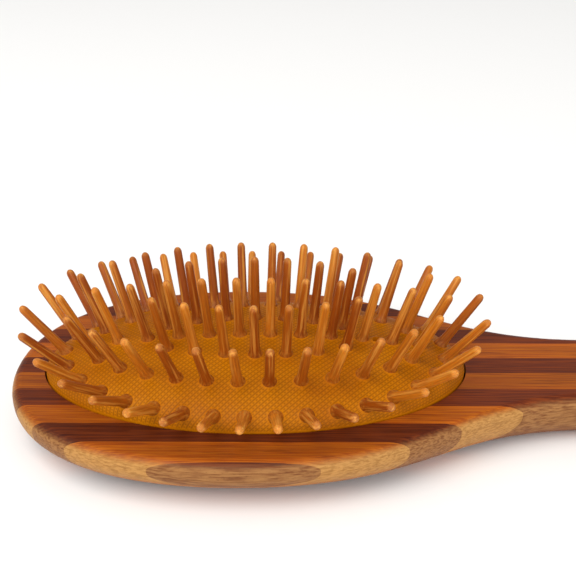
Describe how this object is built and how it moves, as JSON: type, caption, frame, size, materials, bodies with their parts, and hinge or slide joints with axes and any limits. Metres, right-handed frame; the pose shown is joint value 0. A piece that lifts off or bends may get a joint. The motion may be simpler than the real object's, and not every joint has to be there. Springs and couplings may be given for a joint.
{
  "type": "paddle brush",
  "caption": "Oval cushion hair brush with a striped laminated bamboo board and handle, a domed rubber cushion and rows of bamboo pins.",
  "frame": {"origin": "on the flat of the back, under the middle of the cushion", "axes": "+X towards the end of the handle, +Z out of the face that carries the pins, +Y to the left seen from the handle"},
  "size_m": [0.2203, 0.0655, 0.0316],
  "materials": {
    "bamboo_dark": "carbonised bamboo, sanded and satin lacquered",
    "bamboo_light": "lightly carbonised bamboo, sanded and satin lacquered",
    "bamboo_pin": "turned bamboo, polished",
    "rubber_mustard": "moulded natural rubber with a fine diamond relief"
  },
  "bodies": {
    "board": {"strip_01": "bamboo_dark", "strip_02": "bamboo_light", "strip_03": "bamboo_dark", "strip_04": "bamboo_light", "strip_05": "bamboo_dark", "strip_06": "bamboo_light", "strip_07": "bamboo_dark", "strip_08": "bamboo_light", "strip_09": "bamboo_dark", "strip_10": "bamboo_light", "strip_11": "bamboo_dark", "strip_12": "bamboo_light", "strip_13": "bamboo_dark", "rubber_cushion": "rubber_mustard"},
    "middle_ring": {"middle_pins": "bamboo_pin"},
    "third_ring": {"third_pins_left": "bamboo_pin", "third_pins_right": "bamboo_pin"},
    "second_ring": {"second_pins_left": "bamboo_pin", "second_pins_right": "bamboo_pin", "end_pins": "bamboo_pin"},
    "outer_ring": {"outer_pins_left": "bamboo_pin", "outer_pins_right": "bamboo_pin"}
  },
  "joints": [
    {"name": "cushion_press", "type": "slide", "parent": "board", "child": "middle_ring", "axis": [0, 0, -1], "range_m": [0, 0.0035], "stiffness_N_per_m": 2000, "deforming": ["rubber_cushion"]},
    {"name": "third_ring_sink", "type": "slide", "parent": "board", "child": "third_ring", "axis": [0, 0, -1], "range_m": [0, 0.00326]},
    {"name": "second_ring_sink", "type": "slide", "parent": "board", "child": "second_ring", "axis": [0, 0, -1], "range_m": [0, 0.00256]},
    {"name": "outer_ring_sink", "type": "slide", "parent": "board", "child": "outer_ring", "axis": [0, 0, -1], "range_m": [0, 0.00133]}
  ],
  "couplings": [
    {"joint": "third_ring_sink", "follows": "cushion_press", "ratio": 0.93},
    {"joint": "second_ring_sink", "follows": "cushion_press", "ratio": 0.73},
    {"joint": "outer_ring_sink", "follows": "cushion_press", "ratio": 0.38}
  ]
}
